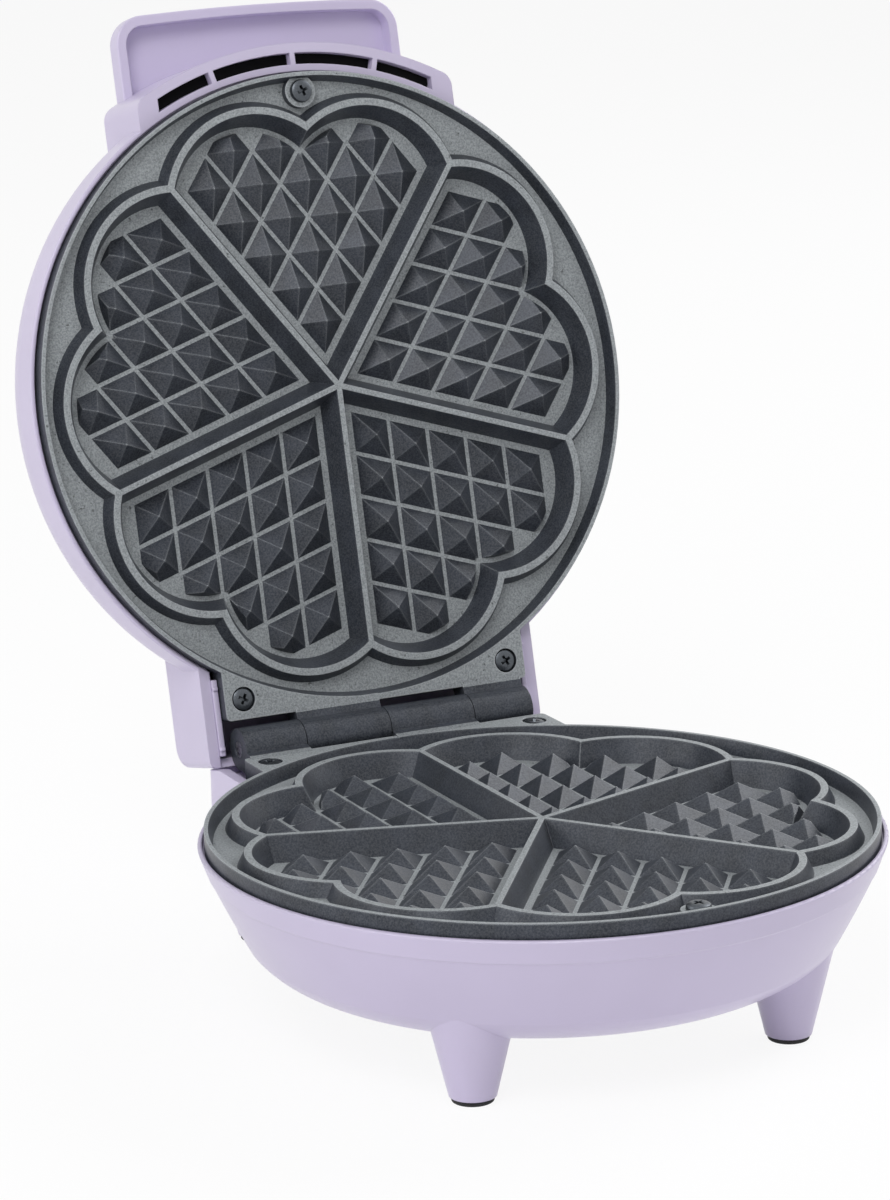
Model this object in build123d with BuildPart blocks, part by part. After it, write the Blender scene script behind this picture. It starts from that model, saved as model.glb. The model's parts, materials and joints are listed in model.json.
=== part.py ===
"""Heart waffle maker: a round folding iron with two cast plates, five hearts in each.

Each half is described in its own plane: z = 0 is the top of the plate's rim, depths run
down into the shell, +y points at the hinge. The base half lies level. The lid half is the
same plane turned over and swung open about the hinge pin, so both plates are one casting.
"""
import os
from math import cos, radians, sin, sqrt

from build123d import *

# Whole product
rim_height = 58.2            # bench to the lower plate's rim
plate_centre_y = -46.5       # the plate's centre from the middle of the open product
open_angle = 103.6           # lid angle on its stop
half_gap = 0.5               # half of the gap between the closed plates

# Cast plate
rim_radius = 95.2
rim_top_width = 1.2
rim_draft = 1.3
ring_depth = 4.3             # flat ring between the rim and the hearts
ring_width = 2.0
rim_flange_depth = 6.0       # the casting steps in below its rim flange
rim_flange_width = 3.7
casting_depth = 11.5
heart_count = 5
lip_radius = 30.55           # lobe radius outside the lip
lip_width = 2.0
lip_drop = 0.3               # the lips lie a little below the rim
lip_draft = 2.0
divider_half = 0.7           # half the width of the ridge between two hearts
wall_draft = 3.2             # plan width of a heart's sloped wall
floor_depth = 7.6
floor_border = 1.5
cell_pitch = 12.6            # square pitch between grid channels
channel_width = 1.2
pyramid_height = 4.6
pyramid_least_share = 0.06   # a smaller cut-off piece of a pyramid is left out
clip_draft = 1.4

# Screws that hold the plates
front_screw_inset = 5.7      # from the plate's rim
front_boss_radius = 4.9
head_clearance = 0.3         # front screw's head to the closing plane
flange_screw_x = 43.9
flange_screw_inset = 6.05    # from the flange's end
screw_head_radius = 3.5
screw_head_height = 1.9
screw_shank_radius = 1.9
front_screw_grip = 3.5       # thread in the shell below the casting
flange_screw_grip = 9.0
screw_clearance = 0.2

# Hinge
hinge_offset = 9.2           # plate's rim to the hinge pin
knuckle_ends = [-48.0, -28.0, 0.0, 28.0, 48.0]
knuckle_radius = 6.4
knuckle_gap = 0.3
knuckle_web = [0.3, -0.9]    # web's height on the knuckle, as shares of its radius
pin_radius = 2.5
pin_running_clearance = 0.05
flange_half_width = 50.0
flange_setback = 8.6         # flange's end to the hinge pin
flange_corner = 1.5
flange_overlap = 2.0
flange_depth = 7.0
flange_inner_y = 70.0

# Shells
rim_clearance = 0.7          # plate wall to shell
seat_clearance = 0.2         # under the rim flange
shell_drop = 4.2             # shell rim below the plate's rim
shell_lip = 1.2              # shell's edge round the plate
wall = 2.6
base_depth = 40.8
lid_depth = 40.5
band_depth = 11.2
band_taper = 2.3
base_band_step = 0.45
lid_side_depth = 14.0
base_flank = [(7.4, 21.5), (12.9, 32.0)]     # middle and end: in from the side, down
lid_flank = [(0.9, 20.5), (4.2, 27.5)]
floor_inset = 33.0           # side to the flat of the floor
floor_rise = 0.7
turn_bulge = (3.5, -1.2)

# Rear box of the base and tail of the lid
flange_side_gap = 2.1        # flange to the cheeks of the box
cheek_wall = 3.4
box_front_y = 45.0           # the box starts inside the bowl
box_overhang = 13.6          # box's back beyond the hinge pin
box_corner_radius = 12.0
box_floor_depth = 38.0
deck_depth = 8.6
tail_overhang = 5.0          # tail end beyond the hinge pin
tail_depth = 32.5
tail_corner_radius = 6.5
stop_clearance = 0.3
sweep_length = 120.0         # room behind the hinge that the tail sweeps through
sweep_height = 60.0
sweep_overlap = 2.0
knuckle_clearance = 1.0

# Feet
foot_x = 49.2
foot_front_y = -52.5
foot_rear_inset = 16.5       # from the box's back
foot_rear_x = 44.0
foot_top_radius = 13.0
foot_tip_radius = 6.6
foot_blend_depth = 30.0      # the cone starts inside the bowl
pad_radius = 5.9
pad_height = 1.6
pad_round = 0.5
pad_plug_radius = 3.0
pad_plug_height = 3.0

# Handle and vents on the lid's front
front_box_half_width = 52.0
front_wall = 3.0             # outside the vents
front_box_corner = 5.0
front_box_depth = 35.0
vent_lip = 0.9               # shell's side to the vents
vent_width = 3.5
vent_half_width = 45.3
vent_rib_width = 1.6
vent_rib_count = 3
vent_rib_angle = 15.6
vent_depth = 20.0
handle_half_width = 47.0
handle_length = 13.9         # beyond the front wall
handle_root_overlap = 20.9
handle_bow = 1.4
handle_corner_radius = 9.0
handle_top_depth = 27.0
handle_back_depth = 35.0
tray_rim = 3.0
tray_depth = 5.6

# Heating and electrical pieces
element_ring_radius = 62.0
element_radius = 3.25
element_gap_angle = 36.0
element_seat_depth = 2.2
element_leg_length = 12.0
element_pin_radius = 1.6
element_pin_length = 6.5
clamp_count = 4
clamp_start_angle = 45.0
clamp_boss_reach = 52.0
clamp_boss_radius = 4.0
clamp_thickness = 1.2
clamp_width = 9.0
shield_radius = 83.0
shield_depth = 23.5
shield_thickness = 0.8
shield_lip = 4.0
shield_hole_gap = 2.0
shield_post_count = 3
shield_post_angle = 30.0
shield_post_reach = 76.0
shield_post_radius = 3.6
small_screw_head_radius = 2.8
small_screw_head_height = 1.6
small_screw_shank_radius = 1.4
small_screw_grip = 5.0
post_radius = 4.6
thermostat_radius = 9.0
thermostat_height = 8.0
thermostat_flange = 1.2
thermostat_step = 1.0
thermostat_ear = 6.0
blade_x = 4.0
blade_thickness = 0.8
blade_width = 4.8
blade_length = 3.0
fuse_x = 26.0
fuse_radius = 2.0
fuse_length = 13.0
fuse_lead_radius = 0.5
fuse_lead_length = 4.0
fuse_clip_width = 5.0
fuse_clip_thickness = 1.0
fuse_clip_foot = 4.0
terminal_length = 34.0
terminal_width = 11.0
terminal_height = 12.0
terminal_inset = 18.0        # from the box's back
terminal_ways = 3
terminal_well_radius = 2.2
terminal_well_depth = 4.0
gland_bore_radius = 3.6
gland_body_radius = 6.0
gland_flange_radius = 8.5
gland_flange_thickness = 2.4
gland_inner_length = 9.0
gland_depth = 24.0
lens_x = 11.0
lens_y = -74.0
lens_radius = 3.2
lens_clearance = 0.1
lens_crown = 0.8
lens_boss_radius = 5.4
lens_seat_depth = 33.4       # flat underside of the lens bosses
lens_flange = 1.0
lens_tip_depth = 38.9
lamp_radius = 2.3
lamp_length = 6.0
holder_post_x = 19.0
holder_post_radius = 3.0
holder_width = 6.5
holder_thickness = 1.6
nut_radius = 8.5
nut_thickness = 3.0
edge_round = 0.6             # small rounds on moulded edges
corner_round = 2.5           # larger rounds on the boxes and the handle

casting_body_radius = rim_radius - rim_flange_width
lobe_reach = rim_radius - rim_top_width - rim_draft - ring_width - lip_draft - lip_radius
front_screw_reach = rim_radius - front_screw_inset
front_boss_drop = screw_head_height - half_gap + head_clearance
hinge_reach = rim_radius + hinge_offset
flange_end_y = hinge_reach - flange_setback
flange_screw_y = flange_end_y - flange_screw_inset
shell_radius = rim_radius + rim_clearance + shell_lip
box_half_width = flange_half_width + flange_side_gap + cheek_wall
box_rear_y = hinge_reach + box_overhang
foot_rear_y = box_rear_y - foot_rear_inset
terminal_y = box_rear_y - terminal_inset
vent_inner_radius = shell_radius + vent_lip
vent_outer_radius = vent_inner_radius + vent_width
front_box_radius = vent_outer_radius + front_wall
handle_reach = front_box_radius + handle_length
heart_angle = 360 / heart_count
half_heart = heart_angle / 2
lobe_angle = half_heart / 2
cell_side = cell_pitch / sin(radians(heart_angle))
back_depth = casting_depth
element_depth = back_depth + element_seat_depth
strap_depth = element_depth + element_radius

os.makedirs("parts", exist_ok=True)


def half_plane():
    return Plane(origin=(0, plate_centre_y, rim_height), x_dir=(1, 0, 0), z_dir=(0, 0, 1))


def lid_half_plane():
    """The base's plane turned over in the parting plane, then swung about the hinge pin."""
    closed = Plane(
        origin=(0, plate_centre_y, rim_height + 2 * half_gap), x_dir=(-1, 0, 0), z_dir=(0, 0, -1)
    )
    pin = Location((0, plate_centre_y + hinge_reach, rim_height + half_gap))
    swing = pin * Location((0, 0, 0), (-open_angle, 0, 0)) * pin.inverse()
    return Plane(swing * closed.location)


base_half = half_plane()
lid_half = lid_half_plane()


def turned(half, angle):
    """The half's plane turned about its own axis."""
    return Plane(half.location * Location((0, 0, 0), (0, 0, angle)))


def level(half, depth):
    """A plane parallel to the rim, this far down into the shell."""
    return half.offset(-depth)


def section(half):
    """The half's radial section: local x is the radius, local y is the height."""
    return Plane(origin=half.origin, x_dir=half.x_dir, z_dir=-half.y_dir)


def side_view(half, x):
    """A plane across the hinge pin at this x: local x runs to the hinge, local y is height."""
    return Plane(origin=half.from_local_coords((x, 0, 0)), x_dir=half.y_dir, z_dir=half.x_dir)


def spin_axis(half):
    return Axis(half.origin, half.z_dir)


def heart_outline(radius, gap):
    """One heart with its cleft towards -y: two straight sides and two lobes of this radius."""
    side = Vector(sin(radians(half_heart)), -cos(radians(half_heart)))
    inward = Vector(-cos(radians(half_heart)), -sin(radians(half_heart)))
    across = lobe_reach * sin(radians(lobe_angle))
    along = lobe_reach * cos(radians(lobe_angle))
    shoulder = side * (along + sqrt(radius**2 - (across - gap) ** 2)) + inward * gap
    tip = Vector(0, -gap / sin(radians(half_heart)))
    cleft = Vector(0, -(along + sqrt(radius**2 - across**2)))
    crest_x = (lobe_reach + radius) * sin(radians(lobe_angle))
    crest_y = -(lobe_reach + radius) * cos(radians(lobe_angle))
    left_shoulder = Vector(-shoulder.X, shoulder.Y)
    with BuildSketch() as outline:
        with BuildLine():
            Line(tip, shoulder)
            ThreePointArc(shoulder, (crest_x, crest_y), cleft)
            ThreePointArc(cleft, (-crest_x, crest_y), left_shoulder)
            Line(left_shoulder, tip)
        make_face()
    return outline.sketch


def pyramid_corners(row, column, spread):
    """The four corners of a grid cell's pyramid, cells counted from the heart's tip."""
    first = Vector(sin(radians(half_heart)), -cos(radians(half_heart)))
    second = Vector(-sin(radians(half_heart)), -cos(radians(half_heart)))
    start = Vector(0, -(divider_half + wall_draft + floor_border) / sin(radians(half_heart)))
    centre = start + first * cell_side * (row + 0.5) + second * cell_side * (column + 0.5)
    half_side = (cell_pitch - channel_width) / 2 / sin(radians(heart_angle)) * spread
    corners = [(-1, -1), (1, -1), (1, 1), (-1, 1)]
    return centre, [centre + first * half_side * a + second * half_side * b for a, b in corners]


def heart_pyramids():
    """The raised pyramids of one heart, cut off where its lobes pass through a cell."""
    sink = 0.2
    spread = (pyramid_height + sink) / pyramid_height
    floor_lobe = lip_radius - lip_width - wall_draft
    with BuildPart() as field:
        for row in range(heart_count):
            for column in range(heart_count):
                centre, corners = pyramid_corners(row, column, spread)
                with BuildSketch(Plane.XY.offset(-floor_depth - sink)) as foot:
                    Polygon(*[(c.X, c.Y) for c in corners], align=None)
                loft([foot.sketch.face(), Vertex(centre.X, centre.Y, pyramid_height - floor_depth)])
    gap = divider_half + wall_draft + floor_border / 2
    with BuildPart() as bounds:
        with BuildSketch(Plane.XY.offset(-floor_depth - sink)):
            add(heart_outline(floor_lobe - floor_border, gap))
        with BuildSketch(Plane.XY.offset(pyramid_height - floor_depth)):
            add(heart_outline(floor_lobe - floor_border - clip_draft, gap + clip_draft / 2))
        loft(ruled=True)
    kept = field.part & bounds.part
    least = pyramid_least_share * cell_pitch**2 * pyramid_height / 3
    return [solid for solid in kept.solids() if solid.volume > least]


def heart_cavity():
    """The space that one heart takes out of the casting, around its pyramids."""
    with BuildPart() as cavity:
        with BuildSketch(Plane.XY):
            add(heart_outline(lip_radius - lip_width, divider_half))
        with BuildSketch(Plane.XY.offset(-floor_depth)):
            add(heart_outline(lip_radius - lip_width - wall_draft, divider_half + wall_draft))
        loft(ruled=True)
        add(heart_pyramids(), mode=Mode.SUBTRACT)
    return cavity.part


def cast_plate():
    """The aluminium casting in its own plane, with rim, hearts, screw seats and knuckles."""
    cavity = heart_cavity()
    with BuildPart() as plate:
        with BuildSketch(Plane.XY):
            Circle(rim_radius)
        extrude(amount=-rim_flange_depth)
        with BuildSketch(Plane.XY.offset(-casting_depth)):
            Circle(casting_body_radius)
        extrude(amount=casting_depth - rim_flange_depth)
        # Flange towards the hinge, level with the rim
        with BuildSketch(Plane.XY):
            with Locations((0, (flange_inner_y + flange_end_y) / 2)):
                Rectangle(2 * flange_half_width, flange_end_y - flange_inner_y)
        extrude(amount=-flange_depth)
        corner_edges = plate.edges().filter_by(Axis.Z).filter_by_position(
            Axis.Y, flange_end_y - 0.1, flange_end_y + 0.1
        )
        fillet(corner_edges, flange_corner)
        # Dish inside the rim, with the flower of heart lips standing in it
        inner = rim_radius - rim_top_width
        with BuildSketch(Plane.XY):
            Circle(inner)
        with BuildSketch(Plane.XY.offset(-ring_depth)):
            Circle(inner - rim_draft)
        loft(mode=Mode.SUBTRACT)
        lip_height = ring_depth - lip_drop
        with PolarLocations(lobe_reach, 2 * heart_count, start_angle=90 + lobe_angle):
            with Locations((0, 0, -ring_depth)):
                Cone(
                    lip_radius + lip_draft,
                    lip_radius,
                    lip_height,
                    align=(Align.CENTER, Align.CENTER, Align.MIN),
                )
        with BuildSketch(Plane.XY.offset(-ring_depth)):
            Circle(lobe_reach)
        extrude(amount=lip_height)
        # Seat of the front screw
        with BuildSketch(Plane.XY.offset(-front_boss_drop)):
            with Locations((0, -front_screw_reach)):
                Circle(front_boss_radius)
        extrude(amount=front_boss_drop - rim_flange_depth)
        for turn in range(heart_count):
            add(cavity.rotate(Axis.Z, turn * heart_angle), mode=Mode.SUBTRACT)
        # Screw holes
        with Locations((0, -front_screw_reach, 0)):
            Hole(screw_shank_radius + screw_clearance, depth=2 * casting_depth)
        with Locations((-flange_screw_x, flange_screw_y, 0), (flange_screw_x, flange_screw_y, 0)):
            CounterBoreHole(
                screw_shank_radius + screw_clearance,
                screw_head_radius + screw_clearance,
                screw_head_height,
                depth=2 * casting_depth,
            )
        # Own knuckles: the first and third lengths of the hinge
        for start, end in zip(knuckle_ends[0::2], knuckle_ends[1::2]):
            left = start + knuckle_gap / 2
            right = end - knuckle_gap / 2
            with BuildSketch(Plane.YZ.offset(left)):
                with Locations((hinge_reach, half_gap)):
                    Circle(knuckle_radius)
                with BuildLine():
                    Polyline(
                        (flange_end_y - flange_overlap, 0),
                        (hinge_reach, half_gap + knuckle_radius * knuckle_web[0]),
                        (hinge_reach, half_gap + knuckle_radius * knuckle_web[1]),
                        (flange_end_y - flange_overlap, -flange_depth),
                        (flange_end_y - flange_overlap, 0),
                    )
                make_face()
            extrude(amount=right - left)
        # Raised seat of the heating element, bosses of its clamps, posts of the heat shield
        with BuildSketch(Plane.XY.offset(-back_depth)):
            Circle(element_ring_radius + 2 * element_radius)
            Circle(element_ring_radius - 2 * element_radius, mode=Mode.SUBTRACT)
        extrude(amount=-element_seat_depth)
        with BuildSketch(Plane.XY.offset(-back_depth)):
            with PolarLocations(clamp_boss_reach, clamp_count, clamp_start_angle):
                Circle(clamp_boss_radius)
        extrude(amount=back_depth - strap_depth)
        with BuildSketch(Plane.XY.offset(-back_depth)):
            with PolarLocations(shield_post_reach, shield_post_count, shield_post_angle):
                Circle(shield_post_radius)
        extrude(amount=back_depth - shield_depth)
        with BuildSketch(Plane.XZ):
            with Locations((element_ring_radius, -element_depth)):
                Circle(element_radius)
        revolve(axis=Axis.Z, mode=Mode.SUBTRACT)
        with BuildSketch(Plane.XY.offset(-strap_depth)):
            with PolarLocations(clamp_boss_reach, clamp_count, clamp_start_angle):
                Circle(small_screw_shank_radius)
        extrude(amount=small_screw_grip, mode=Mode.SUBTRACT)
        with BuildSketch(Plane.XY.offset(-shield_depth)):
            with PolarLocations(shield_post_reach, shield_post_count, shield_post_angle):
                Circle(small_screw_shank_radius)
        extrude(amount=small_screw_grip, mode=Mode.SUBTRACT)
    return plate.part


def bored_plate(casting, half, bore_radius):
    """The casting in its half of the product, its knuckles bored for the hinge pin."""
    with BuildPart() as plate:
        add(casting.moved(half.location))
        with BuildSketch(side_view(half, knuckle_ends[0] - 1)):
            with Locations((hinge_reach, half_gap)):
                Circle(bore_radius)
        extrude(amount=knuckle_ends[-1] - knuckle_ends[0] + 2, mode=Mode.SUBTRACT)
    return plate.part


def plate_screws(half, places, seat_depth, end_depth):
    """Pan-head screws from the plate's face into their posts in the shell."""
    with BuildPart() as screws:
        with BuildSketch(level(half, seat_depth)):
            with Locations(*places):
                Circle(screw_head_radius)
        extrude(amount=screw_head_height)
        with BuildSketch(level(half, seat_depth)):
            with Locations(*places):
                Circle(screw_shank_radius)
        extrude(amount=seat_depth - end_depth)
    return screws.part


def heating_element(half):
    """A tubular heater bent to an open ring, its two ends turned away from the plate."""
    sweep_angle = 360 - element_gap_angle
    start = 90 + element_gap_angle / 2
    with BuildPart() as element:
        with BuildSketch(section(turned(half, start))):
            with Locations((element_ring_radius, -element_depth)):
                Circle(element_radius)
        revolve(axis=spin_axis(half), revolution_arc=sweep_angle)
        for turn in (0, sweep_angle):
            end = turned(half, start + turn)
            place = end.from_local_coords((element_ring_radius, 0, -element_depth))
            with Locations(Location(place)):
                Sphere(element_radius)
            with BuildSketch(Plane(origin=place, x_dir=half.x_dir, z_dir=-half.z_dir)):
                Circle(element_radius)
            extrude(amount=element_leg_length - element_radius)
            with BuildSketch(
                Plane(origin=place, x_dir=half.x_dir, z_dir=-half.z_dir).offset(
                    element_leg_length - element_radius
                )
            ):
                Circle(element_pin_radius)
            extrude(amount=element_pin_length)
    return element.part


def element_clamps(half):
    """Straps screwed to the casting that press the element into its seat."""
    reach = element_ring_radius + element_radius
    with BuildPart() as clamps:
        for number in range(clamp_count):
            spoke = turned(half, clamp_start_angle + number * 360 / clamp_count)
            with BuildSketch(level(spoke, strap_depth)):
                with Locations(((clamp_boss_reach - clamp_boss_radius + reach) / 2, 0)):
                    Rectangle(reach - clamp_boss_reach + clamp_boss_radius, clamp_width)
                with Locations((clamp_boss_reach, 0)):
                    Circle(small_screw_shank_radius + screw_clearance, mode=Mode.SUBTRACT)
            extrude(amount=-clamp_thickness)
    return clamps.part


def small_screws(half, reach, count, start, depth):
    """Small screws into the back of the casting, heads away from the plate."""
    with BuildPart() as screws:
        with BuildSketch(level(half, depth)):
            with PolarLocations(reach, count, start_angle=start):
                Circle(small_screw_head_radius)
        extrude(amount=-small_screw_head_height)
        with BuildSketch(level(half, depth)):
            with PolarLocations(reach, count, start_angle=start):
                Circle(small_screw_shank_radius)
        extrude(amount=small_screw_grip)
    return screws.part


def heat_shield(half):
    """A shallow pressed dish that keeps the element's heat off the shell."""
    with BuildPart() as shield:
        with BuildSketch(level(half, shield_depth)):
            Circle(shield_radius)
            with PolarLocations(shield_post_reach, shield_post_count, shield_post_angle):
                Circle(small_screw_shank_radius + screw_clearance, mode=Mode.SUBTRACT)
            for turn in (0, 360 - element_gap_angle):
                angle = radians(90 + element_gap_angle / 2 + turn)
                place = (element_ring_radius * cos(angle), element_ring_radius * sin(angle))
                with Locations(place):
                    Circle(element_radius + shield_hole_gap, mode=Mode.SUBTRACT)
        extrude(amount=-shield_thickness)
        with BuildSketch(level(half, shield_depth)):
            Circle(shield_radius)
            Circle(shield_radius - shield_thickness, mode=Mode.SUBTRACT)
        extrude(amount=shield_lip)
    return shield.part


def bowl(half, depth, band_step, inset, top):
    """The round shell as a solid, its profile drawn in from the outside by the inset."""
    r = shell_radius - inset
    low = inset - depth
    with BuildPart() as shell:
        with BuildSketch(section(half)):
            with BuildLine():
                Line((0, top), (r - edge_round, top))
                RadiusArc((r - edge_round, top), (r, top - edge_round), edge_round)
                if band_step:
                    side = Line((r, top - edge_round), (r - band_taper, -band_depth))
                    ledge = Line(side @ 1, (side @ 1) - (band_step, band_step))
                    (mid_in, mid_down), (end_in, end_down) = base_flank
                    flank = ThreePointArc(
                        ledge @ 1, (r - mid_in, inset / 2 - mid_down), (r - end_in, inset - end_down)
                    )
                else:
                    side = Line((r, top - edge_round), (r, -lid_side_depth))
                    (mid_in, mid_down), (end_in, end_down) = lid_flank
                    flank = ThreePointArc(
                        side @ 1, (r - mid_in, -mid_down), (r - end_in, inset / 2 - end_down)
                    )
                flat = r - floor_inset
                turn = ThreePointArc(
                    flank @ 1,
                    ((flank @ 1) + Vector(flat, low)) * 0.5 + turn_bulge,
                    (flat, low + floor_rise),
                )
                floor = Line(turn @ 1, (0, low))
                Line(floor @ 1, (0, top))
            make_face()
        revolve(axis=spin_axis(half))
    return shell.part


def base_box(inset, top_depth):
    """The rear box of the base as a solid, rounded at its back corners."""
    width = box_half_width - inset
    with BuildPart() as box:
        with BuildSketch(level(base_half, box_floor_depth - inset)) as plan:
            with Locations((0, box_front_y)):
                Rectangle(
                    2 * width,
                    box_rear_y - inset - box_front_y,
                    align=(Align.CENTER, Align.MIN),
                )
            fillet(plan.vertices().group_by(Axis.Y)[-1], box_corner_radius - inset)
        extrude(amount=box_floor_depth - inset - top_depth)
        if not inset:
            fillet(box.faces().sort_by(Axis.Z)[0].edges(), corner_round)
    return box.part


def round_posts(half, places, radius, top_depth, bottom_depth):
    with BuildPart() as group:
        with BuildSketch(level(half, top_depth)):
            with Locations(*places):
                Circle(radius)
        extrude(amount=top_depth - bottom_depth)
    return group.part


def foot_cones():
    with BuildPart() as cones:
        for x, y in feet:
            with BuildSketch(level(base_half, foot_blend_depth)):
                with Locations((x, y)):
                    Circle(foot_top_radius)
            with BuildSketch(level(base_half, rim_height - pad_height)):
                with Locations((x, y)):
                    Circle(foot_tip_radius)
            loft()
    return cones.part


def stop_wedge(clearance):
    """What the open lid's tail end sweeps clear behind the hinge, down to its stop."""
    with BuildPart() as wedge:
        with BuildSketch(side_view(base_half, -2 * box_half_width)):
            with Locations(Location((hinge_reach, half_gap, 0), (0, 0, 90 - open_angle))):
                with Locations((-sweep_overlap, -tail_overhang - clearance)):
                    Rectangle(sweep_length, sweep_height, align=(Align.MIN, Align.MIN))
        extrude(amount=4 * box_half_width)
    return wedge.part


posts = [
    (0, -front_screw_reach),
    (-flange_screw_x, flange_screw_y),
    (flange_screw_x, flange_screw_y),
]
feet = [
    (-foot_x, foot_front_y),
    (foot_x, foot_front_y),
    (-foot_rear_x, foot_rear_y),
    (foot_rear_x, foot_rear_y),
]
post_tops = [back_depth, flange_depth, flange_depth]
screw_ends = [
    back_depth + front_screw_grip,
    flange_depth + flange_screw_grip,
    flange_depth + flange_screw_grip,
]
plug_depth = rim_height - pad_height - pad_plug_height
gland_plane = Plane(
    origin=base_half.from_local_coords((0, box_rear_y, -gland_depth)),
    x_dir=(1, 0, 0),
    z_dir=(0, 1, 0),
)


def screw_posts(half, outline, bottom_depth):
    """The shell's posts under the plate's screws, cut to the shell's own outline."""
    with BuildPart() as group:
        for place, top in zip(posts, post_tops):
            add(round_posts(half, [place], post_radius, top, bottom_depth))
        add(outline, mode=Mode.INTERSECT)
    return group.part


def screw_bores(half):
    with BuildPart() as bores:
        for place, end in zip(posts, screw_ends):
            add(round_posts(half, [place], screw_shank_radius, 0, end))
    return bores.part


def plate_recess(half):
    """The room that a shell leaves for the casting's rim flange and its body."""
    with BuildPart() as recess:
        with BuildSketch(level(half, rim_flange_depth + seat_clearance)):
            Circle(rim_radius + rim_clearance)
        extrude(amount=rim_flange_depth + seat_clearance)
        with BuildSketch(level(half, casting_depth + seat_clearance)):
            Circle(casting_body_radius + rim_clearance)
        extrude(amount=casting_depth + seat_clearance)
    return recess.part


def front_box():
    """The block on the lid's front edge with the vents, and the handle that it carries."""
    outward = Axis(lid_half.origin, lid_half.z_dir)
    with BuildPart() as block:
        with BuildSketch(level(lid_half, front_box_depth)) as plan:
            Circle(front_box_radius)
            with Locations((0, -front_box_radius)):
                Rectangle(
                    2 * front_box_half_width,
                    front_box_radius,
                    mode=Mode.INTERSECT,
                )
            fillet(plan.vertices().group_by(Axis.Y)[0], front_box_corner)
        extrude(amount=front_box_depth - shell_drop)
        with BuildSketch(level(lid_half, handle_back_depth)):
            add(handle_outline(0))
        extrude(amount=handle_back_depth - handle_top_depth)
        fillet(block.faces().sort_by(outward)[0].edges(), corner_round)
        top_edges = block.faces().filter_by(
            lambda f: abs(level(lid_half, handle_top_depth).to_local_coords(f.center()).Z) < 0.01
        ).edges()
        fillet(top_edges.filter_by(is_handle_edge), edge_round)
    return block.part


def is_handle_edge(edge):
    """True where an edge lies on the handle's own rim, beyond the front box."""
    centre = lid_half.to_local_coords(edge.center())
    return sqrt(centre.X**2 + centre.Y**2) > front_box_radius + edge_round


def handle_outline(inset):
    """Plan of the handle: straight sides, two round corners and a slightly bowed edge."""
    half_width = handle_half_width - inset
    reach = handle_reach - inset
    root = front_box_radius - handle_root_overlap
    with BuildSketch() as outline:
        with BuildLine():
            Line((-half_width, -root), (-half_width, -reach))
            ThreePointArc((-half_width, -reach), (0, -reach - handle_bow), (half_width, -reach))
            Line((half_width, -reach), (half_width, -root))
            Line((half_width, -root), (-half_width, -root))
        make_face()
        fillet(outline.vertices().group_by(Axis.Y)[0], handle_corner_radius - inset)
    return outline.sketch


def vents():
    """Four slots between the round rim and the front wall, parted by ribs."""
    with BuildPart() as slots:
        with BuildSketch(level(lid_half, shell_drop + vent_depth)):
            Circle(vent_outer_radius)
            Circle(vent_inner_radius, mode=Mode.SUBTRACT)
            with Locations((0, -front_box_radius)):
                Rectangle(2 * vent_half_width, front_box_radius, mode=Mode.INTERSECT)
            first = -90 - vent_rib_angle * (vent_rib_count - 1) / 2
            for number in range(vent_rib_count):
                with PolarLocations(vent_inner_radius, 1, first + number * vent_rib_angle):
                    Rectangle(
                        wall + front_box_radius - vent_inner_radius,
                        vent_rib_width,
                        mode=Mode.SUBTRACT,
                    )
        extrude(amount=vent_depth + 1)
    return slots.part


def tail(inset, bottom_depth):
    """The square tail that reaches past the hinge, rounded at its back corner."""
    back = tail_depth - inset
    end = hinge_reach + tail_overhang - inset
    start = flange_inner_y - cheek_wall + inset
    half_width = box_half_width - (cheek_wall if inset else 0)
    along = Axis(lid_half.origin, lid_half.y_dir - lid_half.z_dir)
    outward = Axis(lid_half.origin, lid_half.z_dir)
    with BuildPart() as block:
        with BuildSketch(side_view(lid_half, half_width)):
            with Locations((start, -back)):
                Rectangle(end - start, back - bottom_depth, align=(Align.MIN, Align.MIN))
        extrude(amount=-2 * half_width)
        fillet(block.edges().filter_by(Axis.X).sort_by(along)[-1], tail_corner_radius - inset)
        if not inset:
            sides = block.faces().sort_by(Axis.X)
            rims = sides[0].edges() + sides[-1].edges()
            fillet(rims.filter_by(lambda e: is_tail_back(e, back)), corner_round)
    return block.part


def is_tail_back(edge, back):
    """True where an edge of the tail's side lies on its back, its corner or its end wall."""
    centre = lid_half.to_local_coords(edge.center())
    return centre.Z < tail_corner_radius - back


def lens_bosses(depth):
    """Flat seats under the cover for the two lenses, and two posts for the lamp holder."""
    with BuildPart() as bosses:
        with BuildSketch(level(lid_half, depth)):
            with Locations((-lens_x, lens_y), (lens_x, lens_y)):
                Circle(lens_boss_radius)
        extrude(amount=depth - lens_seat_depth)
        with BuildSketch(level(lid_half, depth)):
            with Locations((-holder_post_x, lens_y), (holder_post_x, lens_y)):
                Circle(holder_post_radius)
        extrude(amount=depth - lens_seat_depth + lens_flange)
    return bosses.part


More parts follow.
